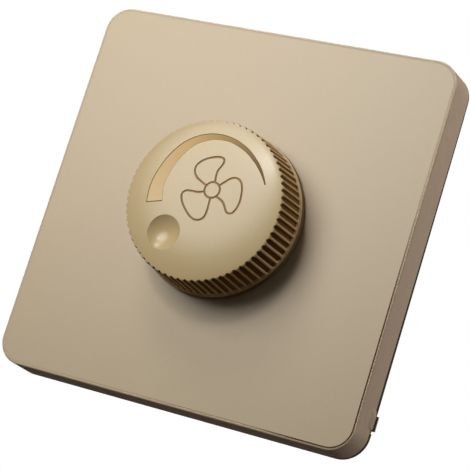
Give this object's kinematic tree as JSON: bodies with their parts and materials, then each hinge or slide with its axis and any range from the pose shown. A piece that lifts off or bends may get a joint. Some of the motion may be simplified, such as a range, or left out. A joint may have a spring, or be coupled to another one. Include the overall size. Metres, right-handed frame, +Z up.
{
  "type": "fan speed control switch",
  "caption": "Square wall plate with a round knurled knob that turns to switch a fan on and set its speed, on a mounting frame with a control housing behind.",
  "frame": {"origin": "centre of the wall plane (the mounting frame's flat rear face), midway between the two wall screw slots and on the knob's axis", "axes": "+X to the right seen from the front, +Y into the wall along the knob axis, +Z up"},
  "size_m": [0.0865, 0.0487, 0.086],
  "materials": {
    "plate_paint": "satin champagne metallic paint on moulded plastic",
    "knob_paint": "satin gold metallic paint on moulded plastic",
    "frame_plastic": "fine-grained black nylon",
    "housing_plastic": "fine-grained black heat-resistant plastic",
    "board": "green lacquered circuit board",
    "bright_steel": "zinc-plated steel",
    "die_cast": "bright zinc die casting",
    "brass": "bright brass",
    "tinned_strip": "tinned brass strip",
    "sink_metal": "mill finish aluminium",
    "ferrite": "dull dark ferrite",
    "copper_wire": "enamelled copper wire",
    "black_epoxy": "moulded black epoxy",
    "film_case": "glossy yellow capacitor case",
    "small_case": "glossy brown-red capacitor dip",
    "resistor_coat": "glossy beige coating",
    "diode_glass": "blue glazed diode body",
    "fuse_body": "white ceramic tube",
    "phenolic": "brown phenolic board",
    "carbon": "printed carbon",
    "white_nylon": "natural nylon"
  },
  "bodies": {
    "housing": {"cover_plate": "plate_paint", "mounting_frame": "frame_plastic", "rear_housing": "housing_plastic", "housing_screws": "bright_steel", "circuit_board": "board", "control_bushing": "die_cast", "control_can": "bright_steel", "resistance_wafer": "phenolic", "carbon_track": "carbon", "control_strips": "tinned_strip", "switch_can": "bright_steel", "switch_base": "phenolic", "switch_strips": "tinned_strip", "switch_leaf": "brass", "lock_washer": "bright_steel", "panel_nut": "bright_steel", "choke_core": "ferrite", "choke_winding": "copper_wire", "heat_sink": "sink_metal", "triac": "black_epoxy", "triac_screw": "bright_steel", "triac_nut": "bright_steel", "film_capacitor": "film_case", "small_capacitor": "small_case", "resistors": "resistor_coat", "trigger_diode": "diode_glass", "fuse": "fuse_body", "wire_clamps": "brass", "clamp_screws": "bright_steel"},
    "knob": {"knob_cap": "knob_paint", "knob_spring": "bright_steel", "control_shaft": "sink_metal", "retaining_ring": "bright_steel", "rotor": "white_nylon", "wiper": "brass", "switch_cam": "white_nylon"}
  },
  "joints": [
    {"name": "knob_turn", "type": "hinge", "parent": "housing", "child": "knob", "pos_m": [0, 0, 0], "axis": [0, 1, 0], "range_deg": [0, 300]}
  ]
}
